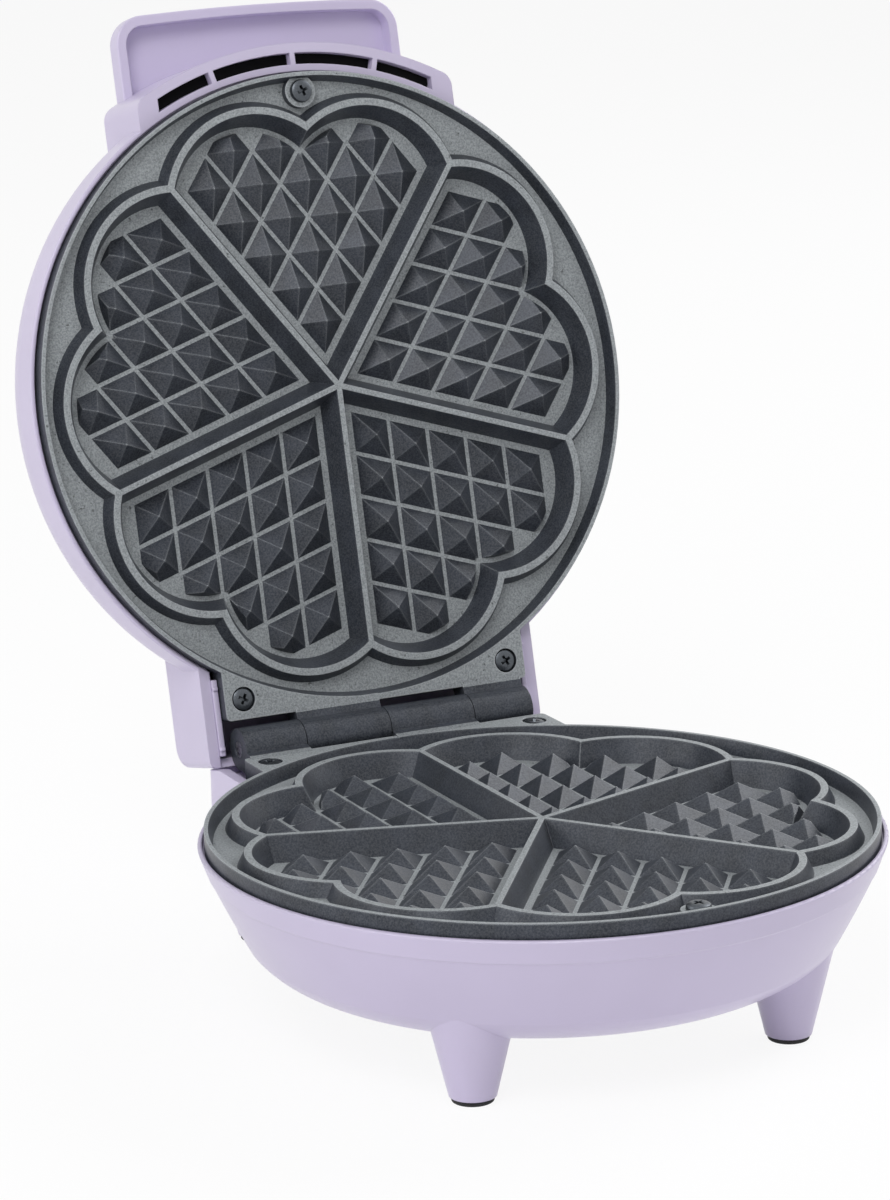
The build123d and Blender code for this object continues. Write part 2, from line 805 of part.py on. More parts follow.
# Base shell: a bowl with a rear box behind the hinge, four feet and three screw posts
outside = bowl(base_half, base_depth, base_band_step, 0, -shell_drop)
hollow = bowl(base_half, base_depth, base_band_step, wall, 0)
box_outside = base_box(0, shell_drop)
box_hollow = base_box(cheek_wall, deck_depth + wall)
with BuildPart() as base_shell:
    add(outside)
    add(box_outside)
    add(foot_cones())
    add(stop_wedge(stop_clearance), mode=Mode.SUBTRACT)
    add(hollow, mode=Mode.SUBTRACT)
    add(box_hollow, mode=Mode.SUBTRACT)
    # Recess that the plate's wall drops into, and the well of the flange and the knuckles
    add(plate_recess(base_half), mode=Mode.SUBTRACT)
    with BuildSketch(level(base_half, deck_depth)):
        with Locations((0, flange_inner_y)):
            Rectangle(
                2 * (box_half_width - cheek_wall),
                hinge_reach + knuckle_radius + knuckle_clearance - flange_inner_y,
                align=(Align.CENTER, Align.MIN),
            )
    extrude(amount=deck_depth, mode=Mode.SUBTRACT)
    add(screw_posts(base_half, outside + box_outside, box_floor_depth - cheek_wall / 2))
    add(screw_bores(base_half), mode=Mode.SUBTRACT)
    add(round_posts(base_half, feet, pad_plug_radius, plug_depth, rim_height), mode=Mode.SUBTRACT)
    # Hole of the cord's gland in the back wall
    with BuildSketch(gland_plane.offset(1)):
        Circle(gland_body_radius)
    extrude(amount=-cheek_wall - 2, mode=Mode.SUBTRACT)
base_shell.part.label = "base_shell"
export_step(base_shell.part, "parts/base_shell.step")

# Foot pads: soft discs plugged into the feet
with BuildPart() as foot_pads:
    add(round_posts(base_half, feet, pad_radius, rim_height - pad_height, rim_height))
    fillet(foot_pads.faces().sort_by(Axis.Z)[0:len(feet)].edges(), pad_round)
    add(round_posts(base_half, feet, pad_plug_radius, plug_depth, rim_height - pad_height))
foot_pads.part.label = "foot_pads"
export_step(foot_pads.part, "parts/foot_pads.step")

# Lid shell: the round cover with the front box, its vents and handle, and the tail
cover = bowl(lid_half, lid_depth, 0, 0, -shell_drop)
cover_hollow = bowl(lid_half, lid_depth, 0, wall, 0)
front = front_box()
tail_outside = tail(0, shell_drop)
with BuildPart() as lid_shell:
    add(cover)
    add(front)
    add(tail_outside)
    add(cover_hollow, mode=Mode.SUBTRACT)
    add(tail(wall, 0), mode=Mode.SUBTRACT)
    add(plate_recess(lid_half), mode=Mode.SUBTRACT)
    # The knuckles turn in this notch of the tail's end wall
    with BuildSketch(side_view(lid_half, box_half_width - cheek_wall)):
        with Locations((hinge_reach, half_gap)):
            Circle(knuckle_radius + knuckle_clearance)
    extrude(amount=-2 * (box_half_width - cheek_wall), mode=Mode.SUBTRACT)
    add(vents(), mode=Mode.SUBTRACT)
    # Tray under the handle, up to the curved front wall of the vents
    with BuildSketch(level(lid_half, handle_top_depth)):
        add(handle_outline(tray_rim))
        Circle(front_box_radius, mode=Mode.SUBTRACT)
    extrude(amount=-tray_depth, mode=Mode.SUBTRACT)
    add(screw_posts(lid_half, cover + front + tail_outside, tail_depth - wall / 2))
    add(screw_bores(lid_half), mode=Mode.SUBTRACT)
    with BuildPart(mode=Mode.PRIVATE) as seats:
        add(lens_bosses(lid_depth))
        add(cover, mode=Mode.INTERSECT)
    add(seats.part)
    with BuildSketch(level(lid_half, lid_depth)):
        with Locations((-lens_x, lens_y), (lens_x, lens_y)):
            Circle(lens_radius + lens_clearance)
    extrude(amount=lid_depth - lens_seat_depth, mode=Mode.SUBTRACT)
lid_shell.part.label = "lid_shell"
export_step(lid_shell.part, "parts/lid_shell.step")

# Plates: one casting used twice, with the pin pressed in the base's and turning in the lid's
casting = cast_plate()
lower_plate = bored_plate(casting, base_half, pin_radius)
lower_plate.label = "lower_plate"
export_step(lower_plate, "parts/lower_plate.step")
upper_plate = bored_plate(casting, lid_half, pin_radius + pin_running_clearance)
upper_plate.label = "upper_plate"
export_step(upper_plate, "parts/upper_plate.step")

with BuildPart() as hinge_pin:
    with BuildSketch(side_view(base_half, knuckle_ends[0] + knuckle_gap)):
        with Locations((hinge_reach, half_gap)):
            Circle(pin_radius)
    extrude(amount=knuckle_ends[-1] - knuckle_ends[0] - 2 * knuckle_gap)
hinge_pin.part.label = "hinge_pin"
export_step(hinge_pin.part, "parts/hinge_pin.step")

# Each half's screws, element, clamps and heat shield
for name, half in (("lower", base_half), ("upper", lid_half)):
    pieces = {
        "front_screw": plate_screws(half, posts[:1], front_boss_drop, screw_ends[0]),
        "flange_screws": plate_screws(half, posts[1:], screw_head_height, screw_ends[1]),
        "heating_element": heating_element(half),
        "element_clamps": element_clamps(half),
        "clamp_screws": small_screws(
            half,
            clamp_boss_reach,
            clamp_count,
            clamp_start_angle,
            strap_depth + clamp_thickness,
        ),
        "heat_shield": heat_shield(half),
        "shield_screws": small_screws(
            half,
            shield_post_reach,
            shield_post_count,
            shield_post_angle,
            shield_depth + shield_thickness,
        ),
    }
    for piece, solid in pieces.items():
        solid.label = name + "_" + piece
        export_step(solid, "parts/" + solid.label + ".step")

# Thermostat: a bimetal disc in a flanged cap, clamped against the lower casting
with BuildPart() as thermostat:
    with BuildSketch(level(base_half, back_depth)):
        Circle(thermostat_radius)
        SlotCenterToCenter(2 * thermostat_radius + thermostat_ear, thermostat_ear)
    extrude(amount=-thermostat_flange)
    with BuildSketch(level(base_half, back_depth + thermostat_flange)):
        Circle(thermostat_radius - thermostat_step)
    extrude(amount=thermostat_flange - thermostat_height)
    with BuildSketch(level(base_half, back_depth + thermostat_height)):
        with Locations((-blade_x, 0), (blade_x, 0)):
            Rectangle(blade_thickness, blade_width)
    extrude(amount=-blade_length)
thermostat.part.label = "thermostat"
export_step(thermostat.part, "parts/thermostat.step")

# Thermal fuse: a small cartridge lying against the lower casting, under its clip
with BuildPart() as thermal_fuse:
    with BuildSketch(side_view(base_half, fuse_x)):
        with Locations((0, -back_depth - fuse_radius)):
            Circle(fuse_radius)
    extrude(amount=fuse_length)
    with BuildSketch(side_view(base_half, fuse_x - fuse_lead_length)):
        with Locations((0, -back_depth - fuse_radius)):
            Circle(fuse_lead_radius)
    extrude(amount=fuse_length + 2 * fuse_lead_length)
thermal_fuse.part.label = "thermal_fuse"
export_step(thermal_fuse.part, "parts/thermal_fuse.step")

with BuildPart() as fuse_clip:
    top = (Align.CENTER, Align.MAX)
    bore = 2 * fuse_radius
    bridge = bore + 2 * fuse_clip_thickness
    with BuildSketch(side_view(base_half, fuse_x + (fuse_length - fuse_clip_width) / 2)):
        with Locations((0, -back_depth)):
            Rectangle(bridge + 2 * fuse_clip_foot, fuse_clip_thickness, align=top)
            Rectangle(bridge, bore + fuse_clip_thickness, align=top)
            Rectangle(bore, bore, align=top, mode=Mode.SUBTRACT)
    extrude(amount=fuse_clip_width)
fuse_clip.part.label = "fuse_clip"
export_step(fuse_clip.part, "parts/fuse_clip.step")

# Terminal block on the floor of the rear box
with BuildPart() as terminal_block:
    floor = box_floor_depth - cheek_wall
    with BuildSketch(level(base_half, floor)):
        with Locations((0, terminal_y)):
            Rectangle(terminal_length, terminal_width)
    extrude(amount=terminal_height)
    with BuildSketch(level(base_half, floor - terminal_height)):
        with Locations((0, terminal_y)):
            with GridLocations(terminal_length / terminal_ways, 1, terminal_ways, 1):
                Circle(terminal_well_radius)
    extrude(amount=-terminal_well_depth, mode=Mode.SUBTRACT)
terminal_block.part.label = "terminal_block"
export_step(terminal_block.part, "parts/terminal_block.step")

# Cord gland in the back wall of the rear box, and the nut that holds it inside
with BuildPart() as cord_gland:
    with BuildSketch(gland_plane):
        Circle(gland_flange_radius)
    extrude(amount=gland_flange_thickness)
    fillet(cord_gland.faces().sort_by(Axis.Y)[-1].edges(), edge_round)
    with BuildSketch(gland_plane):
        Circle(gland_body_radius)
    extrude(amount=-gland_inner_length)
    with BuildSketch(gland_plane.offset(gland_flange_thickness)):
        Circle(gland_bore_radius)
    extrude(amount=-gland_flange_thickness - gland_inner_length, mode=Mode.SUBTRACT)
cord_gland.part.label = "cord_gland"
export_step(cord_gland.part, "parts/cord_gland.step")

with BuildPart() as gland_nut:
    with BuildSketch(gland_plane.offset(-cheek_wall)):
        RegularPolygon(nut_radius, 6)
        Circle(gland_body_radius, mode=Mode.SUBTRACT)
    extrude(amount=-nut_thickness)
gland_nut.part.label = "gland_nut"
export_step(gland_nut.part, "parts/gland_nut.step")

# Indicator lenses in the lid, flanged inside, with the lamps in their holder behind them
for name, x in (("power_lens", lens_x), ("ready_lens", -lens_x)):
    with BuildPart() as lens:
        add(round_posts(lid_half, [(x, lens_y)], lens_radius, lens_seat_depth, lens_tip_depth))
        outward = Axis(lid_half.origin, lid_half.z_dir)
        fillet(lens.faces().sort_by(outward)[0].edges(), lens_crown)
        add(round_posts(lid_half, [(x, lens_y)], lens_radius + lens_flange,
                        lens_seat_depth - lens_flange, lens_seat_depth))
    lens.part.label = name
    export_step(lens.part, "parts/" + name + ".step")

holder_depth = lens_seat_depth - lens_flange
lamp_places = [(-lens_x, lens_y), (lens_x, lens_y)]
with BuildPart() as lamp_holder:
    with BuildSketch(level(lid_half, holder_depth)):
        with Locations((0, lens_y)):
            SlotCenterToCenter(2 * holder_post_x, holder_width)
        with Locations(*lamp_places):
            Circle(lamp_radius, mode=Mode.SUBTRACT)
    extrude(amount=holder_thickness)
lamp_holder.part.label = "lamp_holder"
export_step(lamp_holder.part, "parts/lamp_holder.step")

neon_lamps = round_posts(lid_half, lamp_places, lamp_radius, holder_depth - lamp_length, holder_depth)
neon_lamps.label = "neon_lamps"
export_step(neon_lamps, "parts/neon_lamps.step")
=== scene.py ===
"""Finish of a heart waffle maker: moulded lilac shells round two coated castings.

Lengths in the settings and named sizes are millimetres, as on a workshop drawing. Everything
that is built here is in metres in the row frame, where +y points from the front of the base
to the hinge.
"""
import json
import math

import bmesh
import bpy
from mathutils import Matrix, Vector


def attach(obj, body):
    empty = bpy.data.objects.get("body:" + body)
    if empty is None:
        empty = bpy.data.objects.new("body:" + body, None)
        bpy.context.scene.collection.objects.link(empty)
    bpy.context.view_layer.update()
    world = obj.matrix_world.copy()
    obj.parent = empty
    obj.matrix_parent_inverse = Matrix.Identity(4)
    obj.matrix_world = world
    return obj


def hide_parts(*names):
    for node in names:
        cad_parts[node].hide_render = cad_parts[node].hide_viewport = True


bl_info = {
    "name": "Heart Waffle Maker",
    "version": (1, 0, 0),
    "blender": (4, 5, 0),
    "location": "3D View > Sidebar > Waffle Maker",
    "description": "Gives a folding heart waffle maker its finish, screws, vents and studio",
    "category": "Object",
}

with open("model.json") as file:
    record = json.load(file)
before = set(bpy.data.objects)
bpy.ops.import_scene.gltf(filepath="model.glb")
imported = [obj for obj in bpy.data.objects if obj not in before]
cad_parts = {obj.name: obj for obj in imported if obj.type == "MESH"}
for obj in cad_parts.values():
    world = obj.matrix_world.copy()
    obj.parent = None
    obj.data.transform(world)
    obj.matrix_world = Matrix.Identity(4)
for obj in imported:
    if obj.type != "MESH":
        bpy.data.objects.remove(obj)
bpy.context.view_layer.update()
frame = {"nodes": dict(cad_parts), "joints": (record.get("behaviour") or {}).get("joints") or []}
MM = 0.001

# Each half is drawn lying open, with its plate's centre at the origin and its rim at z = 0
HINGE = frame["joints"][0]
PIN = Vector(HINGE["pos_m"])
OPEN_ANGLE = -math.radians(HINGE["range_deg"][0])
PLATE_TO_PIN = 104.4 * MM
HALF_GAP = 0.5 * MM
PLATE_CENTRE = PIN - Vector((0, PLATE_TO_PIN, HALF_GAP))
FLANGE_END = 96.0 * MM


def linear(hex_colour):
    """An sRGB hex colour as linear red, green, blue and full alpha."""
    channels = [int(hex_colour[i:i + 2], 16) / 255 for i in (0, 2, 4)]
    return tuple(
        c / 12.92 if c <= 0.04045 else ((c + 0.055) / 1.055) ** 2.4 for c in channels
    ) + (1.0,)


def half_frame(half):
    """Placement of one half: x across, y to the hinge, z out of the plate's rim plane."""
    base = Matrix.Translation(PLATE_CENTRE)
    if half == "base":
        return base
    closed = Matrix.Translation((0, 0, 2 * HALF_GAP)) @ base @ Matrix.Rotation(math.pi, 4, "Y")
    swing = Matrix.Rotation(-OPEN_ANGLE, 4, "X")
    return Matrix.Translation(PIN) @ swing @ Matrix.Translation(-PIN) @ closed


# Settings


def length_property(name, description, default):
    """A length in millimetres that a user may change."""
    return bpy.props.FloatProperty(name=name, description=description, default=default, min=0.0)


def colour_property(name, description, hex_colour):
    """A colour that a user may change, written as sRGB hex."""
    return bpy.props.FloatVectorProperty(
        name=name, description=description, subtype="COLOR", size=4, min=0.0, max=1.0,
        default=linear(hex_colour),
    )


class ShellSettings(bpy.types.PropertyGroup):
    """Moulded outer parts."""

    colour: colour_property("Shell colour", "Lilac of the two shells", "CFC6E0")
    roughness: bpy.props.FloatProperty(
        name="Shell roughness", description="Satin gloss of the mould", default=0.3,
        subtype="FACTOR",
    )
    pad_colour: colour_property("Pad colour", "Rubber of the feet", "141416")


class PlateSettings(bpy.types.PropertyGroup):
    """Coated castings."""

    # Painted light and shade: level faces are given the lighter colour and sloped faces the
    # darker one
    lit_flat_colour: colour_property("Flat colour", "Level faces, painted lighter as if lit", "9A9FA2")
    shaded_facet_colour: colour_property("Facet colour", "Sloped faces and knuckles, painted darker as if in shade", "2E323B")
    grain: length_property("Coating grain (mm)", "Size of the mineral specks", 0.55)
    edge: length_property("Edge round (mm)", "Softened edges of the casting", 0.35)
    # Painted highlight colour for the sharp ridges; it also tints the pale specks on the sloped
    # faces
    highlight_and_speck_colour: colour_property("Highlight and speck colour", "Painted highlight on the sharp ridges; also the pale specks on sloped faces", "B9BEC2")


class ScrewSettings(bpy.types.PropertyGroup):
    """Plate screws."""

    head_radius: length_property("Head radius (mm)", "Pan head", 3.5)
    head_height: length_property("Head height (mm)", "Pan head", 1.9)
    front_seat: length_property("Front seat (mm)", "Front screw's seat below the rim", 1.7)
    shank_radius: length_property("Shank radius (mm)", "Below the head", 1.9)
    recess_length: length_property("Recess length (mm)", "Tip to tip of the cross recess", 4.0)
    recess_width: length_property("Recess width (mm)", "Width of each arm", 1.0)
    recess_depth: length_property("Recess depth (mm)", "Below the crown", 1.5)
    colour: colour_property("Screw colour", "Dull plated steel", "565A5F")


class StageSettings(bpy.types.PropertyGroup):
    """Studio and camera, fitted to the reference view."""

    azimuth: bpy.props.FloatProperty(
        name="Azimuth", description="Camera turned to the object's left", subtype="ANGLE",
        default=math.radians(-26.026),
    )
    elevation: bpy.props.FloatProperty(
        name="Elevation", description="Camera above the bench", subtype="ANGLE",
        default=math.radians(14.316),
    )
    roll: bpy.props.FloatProperty(
        name="Roll", description="Tilt of the picture", subtype="ANGLE",
        default=math.radians(-1.221),
    )
    distance: length_property("Distance (mm)", "Camera to the point it aims at", 1183.71)
    aim_right: bpy.props.FloatProperty(
        name="Aim right (mm)", description="Aim point from the lower plate's centre",
        default=-23.284,
    )
    aim_up: bpy.props.FloatProperty(
        name="Aim up (mm)", description="Aim point from the lower plate's centre",
        default=55.836,
    )
    focal_length: length_property("Focal length (mm)", "On a sensor 24 mm high", 84.094)
    front_power: bpy.props.FloatProperty(
        name="Front light", description="Softbox high on the left, in front", default=13.0,
        unit="POWER",
    )
    right_power: bpy.props.FloatProperty(
        name="Right light", description="Large softbox on the right", default=16.0,
        unit="POWER",
    )
    left_power: bpy.props.FloatProperty(
        name="Left light", description="Softbox low on the left", default=4.6, unit="POWER",
    )


def settings(group):
    """The values of one group, as they stand in the scene."""
    return getattr(bpy.context.scene, "waffle_" + group)


# Materials. Patterns are in millimetres. Mould texture, coating specks and plating are finer on
# the real parts than a picture of the whole object shows, so they are drawn coarser here.

PLASTIC_IOR = 1.53
COATING_IOR = 1.38
RUBBER_IOR = 1.52
ACRYLIC_IOR = 1.49
COLOUR_DRIFT = 45.0
SKIN_STRENGTH = 0.5
# Facing limits between the darker sloped colour and the lighter level colour of the painted light
SLOPED, LEVEL = 0.93, 0.99
COATING_METALLIC = 0.15
FACET_ROUGHNESS, FLAT_ROUGHNESS = 0.36, 0.55
FACET_GRIT, FLAT_GRIT = 0.2, 0.7
GRIT_DEPTH = 0.035
PIT_SIZE = 2.6
FACET_DRIFT = 9.0
# Largest share of the painted highlight on sharp ridges
RIDGE_HIGHLIGHT = 0.8


def add(tree, kind, inputs=(), **properties):
    """Adds a node with its properties. An input is given a value or another node's output."""
    made = tree.nodes.new(kind)
    for name, value in properties.items():
        setattr(made, name, value)
    for name, value in dict(inputs).items():
        if isinstance(value, bpy.types.NodeSocket):
            tree.links.new(value, made.inputs[name])
        else:
            made.inputs[name].default_value = value
    return made


def material(name):
    """A new material of this name, still without nodes, and its node tree."""
    made = bpy.data.materials.new(name)
    made.use_nodes = True
    made.node_tree.nodes.clear()
    return made, made.node_tree


def finish(tree, inputs):
    """Ends a material with one Principled shader, its values on the shader's own sockets."""
    shader = add(tree, "ShaderNodeBsdfPrincipled", inputs)
    add(tree, "ShaderNodeOutputMaterial", {"Surface": shader.outputs[0]})


def shade(colour, factor):
    """A colour made lighter or darker by a factor."""
    return tuple(min(1.0, c * factor) for c in colour[:3]) + (1.0,)


def grain_of(tree, size_mm, detail=2.0, roughness=0.5):
    """Object-space noise whose grains are about this many millimetres across."""
    place = add(tree, "ShaderNodeTexCoord").outputs["Object"]
    return add(
        tree, "ShaderNodeTexNoise",
        {"Vector": place, "Scale": 1 / (size_mm * MM), "Detail": detail, "Roughness": roughness},
    ).outputs["Fac"]


def mottle(tree, grain, first, second, most=1.0, start=0.35, end=0.65):
    """A colour that goes from the first to the second with a grain, by this share at most."""
    share = add(
        tree, "ShaderNodeMapRange",
        {"Value": grain, "From Min": start, "From Max": end, "To Min": 0.0, "To Max": most},
    )
    return add(
        tree, "ShaderNodeMix", {0: share.outputs["Result"], 6: first, 7: second},
        data_type="RGBA",
    ).outputs[2]


def worked_skin(tree, grain, smoother, rougher, relief_mm, under=None):
    """Roughness and relief that follow one grain, as a mould or a die leaves them."""
    gloss = add(
        tree, "ShaderNodeMapRange",
        {"Value": grain, "From Min": 0.35, "From Max": 0.65, "To Min": smoother,
         "To Max": rougher},
    )
    inputs = {"Height": grain, "Distance": relief_mm * MM, "Strength": SKIN_STRENGTH}
    if under is not None:
        inputs["Normal"] = under
    relief = add(tree, "ShaderNodeBump", inputs)
    return {"Roughness": gloss.outputs["Result"], "Normal": relief.outputs["Normal"]}


def moulded_plastic(
    name, colour, roughness, texture_mm=2.6, relief_mm=0.0008, edge_mm=0.5, specular=0.5,
):
    """Injection-moulded thermoplastic: even colour, a satin skin and faintly uneven gloss."""
    made, tree = material(name)
    skin = grain_of(tree, texture_mm, 3.0)
    edge = add(tree, "ShaderNodeBevel", {"Radius": edge_mm * MM}, samples=4).outputs["Normal"]
    finish(tree, {
        "Base Color": mottle(
            tree, grain_of(tree, COLOUR_DRIFT), shade(colour, 0.975), shade(colour, 1.02),
        ),
        "IOR": PLASTIC_IOR,
        "Specular IOR Level": specular,
        **worked_skin(tree, skin, roughness - 0.015, roughness + 0.02, relief_mm, edge),
    })
    return made


def coated_casting(name, half):
    """Die-cast aluminium under a sprayed non-stick coat with pale mineral specks: level faces are
    painted lighter as if lit, steep faces and knuckles are smoother and painted darker as shade,
    and a painted highlight runs along the sharp ridges."""
    own = settings("plate")
    made, tree = material(name)
    place = half_frame(half)
    outward = place.to_3x3() @ Vector((0, 0, 1))
    along = place.to_3x3() @ Vector((0, 1, 0))
    where = add(tree, "ShaderNodeTexCoord").outputs
    facing = add(
        tree, "ShaderNodeVectorMath", {0: where["Normal"], 1: outward}, operation="DOT_PRODUCT",
    ).outputs["Value"]
    reach = add(
        tree, "ShaderNodeVectorMath", {0: where["Object"], 1: along}, operation="DOT_PRODUCT",
    ).outputs["Value"]
    # 1 on the plate and its flange, 0 on the knuckles behind them
    plain = add(
        tree, "ShaderNodeMath", {0: reach, 1: place.translation.dot(along) + FLANGE_END},
        operation="LESS_THAN",
    ).outputs[0]
    # Painted light and shade: faces level with the plate take the lighter colour as if lit,
    # sloped faces and the knuckles the darker one
    level = add(
        tree, "ShaderNodeMapRange",
        {"Value": facing, "From Min": SLOPED, "From Max": LEVEL, "To Max": plain},
    ).outputs["Result"]
    speck = grain_of(tree, own.grain, 2.0, 0.7)
    flat = mottle(tree, speck, shade(own.lit_flat_colour, 0.7), shade(own.lit_flat_colour, 1.25))
    pits = grain_of(tree, own.grain * PIT_SIZE, 2.0, 0.6)
    flat = mottle(tree, pits, flat, shade(own.lit_flat_colour, 0.35), start=0.66, end=0.74)
    facet = mottle(
        tree, grain_of(tree, FACET_DRIFT), shade(own.shaded_facet_colour, 0.8),
        shade(own.shaded_facet_colour, 1.25),
    )
    facet = mottle(tree, speck, facet, tuple(own.highlight_and_speck_colour), most=0.1)
    coat = add(tree, "ShaderNodeMix", {0: level, 6: facet, 7: flat}, data_type="RGBA").outputs[2]
    # Painted highlight: sharp convex ridges, found by occlusion from inside, are mixed towards
    # the pale colour
    ridge = add(
        tree, "ShaderNodeAmbientOcclusion", {"Distance": own.edge * 2 * MM}, inside=True,
        samples=4, only_local=True,
    ).outputs["AO"]
    sharp = add(
        tree, "ShaderNodeMapRange",
        {"Value": ridge, "From Min": 0.45, "From Max": 0.8, "To Min": RIDGE_HIGHLIGHT, "To Max": 0.0},
    ).outputs["Result"]
    ridge_highlight = add(tree, "ShaderNodeMath", {0: sharp, 1: plain}, operation="MULTIPLY").outputs[0]
    gloss = add(
        tree, "ShaderNodeMapRange",
        {"Value": level, "To Min": FACET_ROUGHNESS, "To Max": FLAT_ROUGHNESS},
    )
    grit = add(
        tree, "ShaderNodeMapRange", {"Value": level, "To Min": FACET_GRIT, "To Max": FLAT_GRIT},
    )
    edge = add(tree, "ShaderNodeBevel", {"Radius": own.edge * MM}, samples=6)
    relief = add(tree, "ShaderNodeBump", {
        "Height": speck, "Distance": GRIT_DEPTH * MM, "Strength": grit.outputs["Result"],
        "Normal": edge.outputs["Normal"],
    })
    finish(tree, {
        "Base Color": add(
            tree, "ShaderNodeMix", {0: ridge_highlight, 6: coat, 7: tuple(own.highlight_and_speck_colour)},
            data_type="RGBA",
        ).outputs[2],
        "Metallic": COATING_METALLIC,
        "IOR": COATING_IOR,
        "Roughness": gloss.outputs["Result"],
        "Normal": relief.outputs["Normal"],
    })
    return made


def metal(name, colour, roughness, grain_mm=0.6, relief_mm=0.003):
    """Bare or plated metal: bright, with a faintly uneven polish."""
    made, tree = material(name)
    wear = grain_of(tree, grain_mm, 3.0)
    finish(tree, {
        "Base Color": mottle(tree, wear, shade(colour, 0.88), shade(colour, 1.1)),
        "Metallic": 1.0,
        **worked_skin(tree, wear, roughness - 0.06, roughness + 0.08, relief_mm),
    })
    return made


def moulded_rubber(name, colour):
    """Moulded rubber: near black and matt, with a slight bloom."""
    made, tree = material(name)
    bloom = grain_of(tree, 2.0, 3.0)
    relief = add(
        tree, "ShaderNodeBump",
        {"Height": grain_of(tree, 0.4), "Distance": 0.02 * MM, "Strength": SKIN_STRENGTH},
    )
    finish(tree, {
        "Base Color": mottle(tree, bloom, tuple(colour), shade(colour, 2.0)),
        "Roughness": 0.75,
        "IOR": RUBBER_IOR,
        "Normal": relief.outputs["Normal"],
    })
    return made


def tinted_lens(name, hex_colour):
    """Clear moulded acrylic or glass with a dye: the lamp behind shows as a soft deeper tone."""
    colour = linear(hex_colour)
    made, tree = material(name)
    depth = grain_of(tree, 3.0, 1.0)
    finish(tree, {
        "Base Color": mottle(tree, depth, shade(colour, 0.7), shade(colour, 1.2)),
        "Roughness": 0.12,
        "IOR": ACRYLIC_IOR,
        "Transmission Weight": 0.35,
    })
    return made


def dress(node, made):
    """Gives a carried-over node its material, through its own slots."""
    for place in frame["nodes"][node].material_slots:
        place.material = made


# Mesh helpers

ON_AXIS = 1e-9


def piece(name, form, made, body):
    """A finished object from a bmesh, riding on a body."""
    data = bpy.data.meshes.new(name)
    form.normal_update()
    form.to_mesh(data)
    form.free()
    data.materials.append(made)
    built = bpy.data.objects.new(name, data)
    bpy.context.scene.collection.objects.link(built)
    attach(built, body)
    return built


def smooth_by_angle(built, degrees):
    """Smooth shading with creases kept where faces meet more sharply than this."""
    for face in built.data.polygons:
        face.use_smooth = True
    built.data.set_sharp_from_angle(angle=math.radians(degrees))


def lathe(profile, steps=48):
    """A closed turned form about z from (radius, height) points, first and last on the axis."""
    turned = bmesh.new()
    rings = []
    for radius, height in profile:
        if radius < ON_AXIS:
            rings.append([turned.verts.new((0, 0, height))])
        else:
            angles = [math.tau * i / steps for i in range(steps)]
            rings.append([
                turned.verts.new((radius * math.cos(a), radius * math.sin(a), height))
                for a in angles
            ])
    for upper, lower in zip(rings, rings[1:]):
        for i in range(steps):
            j = (i + 1) % steps
            corners = [
                upper[i % len(upper)], lower[i % len(lower)],
                lower[j % len(lower)], upper[j % len(upper)],
            ]
            turned.faces.new(list(dict.fromkeys(corners)))
    return turned


def cut(target, tools):
    """The target's mesh with each tool's taken out of it in turn."""
    objects = []
    for form in (target, *tools):
        bmesh.ops.recalc_face_normals(form, faces=form.faces)
        data = bpy.data.meshes.new("cutting")
        form.to_mesh(data)
        form.free()
        objects.append(bpy.data.objects.new("cutting", data))
        bpy.context.scene.collection.objects.link(objects[-1])
    for tool in objects[1:]:
        difference = objects[0].modifiers.new("recess", "BOOLEAN")
        difference.operation = "DIFFERENCE"
        difference.solver = "EXACT"
        difference.object = tool
    bpy.context.view_layer.update()
    evaluated = objects[0].evaluated_get(bpy.context.evaluated_depsgraph_get())
    result = bmesh.new()
    result.from_mesh(evaluated.to_mesh())
    evaluated.to_mesh_clear()
    for spare in objects:
        data = spare.data
        bpy.data.objects.remove(spare)
        bpy.data.meshes.remove(data)
    if not result.faces:
        raise RuntimeError("The cut left nothing")
    return result


# Plate screws

HEAD_CROWN = (
    # Share of the head's radius, share of its height
    (0.0, 1.0), (0.5, 0.99), (0.76, 0.92), (0.92, 0.74), (0.99, 0.45), (1.0, 0.2),
)
HEAD_FOOT, HEAD_FOOT_ROUND = 0.96, 0.05
SHANK_TIP = 0.6
RECESS_FLOOR_LENGTH, RECESS_FLOOR_WIDTH = 0.35, 0.6
ABOVE_CROWN = 0.5
FRONT_SCREW_REACH, FRONT_SCREW_END, FRONT_SCREW_TURN = 89.5, 15.0, 0.35
FLANGE_SCREW_SIDE, FLANGE_SCREW_REACH, FLANGE_SCREW_END = 43.9, 89.75, 16.0
FLANGE_SCREW_TURNS = (0.5, 1.1)


def cross_arms(own):
    """The two tapered arms of the cross that a driver's tip leaves in the head."""
    arms = []
    for turn in (0, math.pi / 2):
        arm = bmesh.new()
        for corner in bmesh.ops.create_cube(arm, size=1.0)["verts"]:
            reach, breadth = own.recess_length, own.recess_width
            height = own.head_height + ABOVE_CROWN
            if corner.co.z < 0:
                reach, breadth = reach * RECESS_FLOOR_LENGTH, breadth * RECESS_FLOOR_WIDTH
                height = own.head_height - own.recess_depth
            corner.co = Vector((corner.co.x * reach, corner.co.y * breadth, height))
        bmesh.ops.rotate(arm, verts=arm.verts, matrix=Matrix.Rotation(turn, 3, "Z"))
        arms.append(arm)
    return arms


def plate_screw(own, length):
    """One pan-head screw in millimetres, its seat at z = 0 and its shank below."""
    radius, height, shank = own.head_radius, own.head_height, own.shank_radius
    head = lathe([
        *((radius * across, height * up) for across, up in HEAD_CROWN),
        (radius * 0.985, HEAD_FOOT_ROUND), (radius * HEAD_FOOT, 0.0),
        (shank, 0.0), (shank, -length + SHANK_TIP), (shank - SHANK_TIP, -length), (0, -length),
    ])
    return cut(head, cross_arms(own))


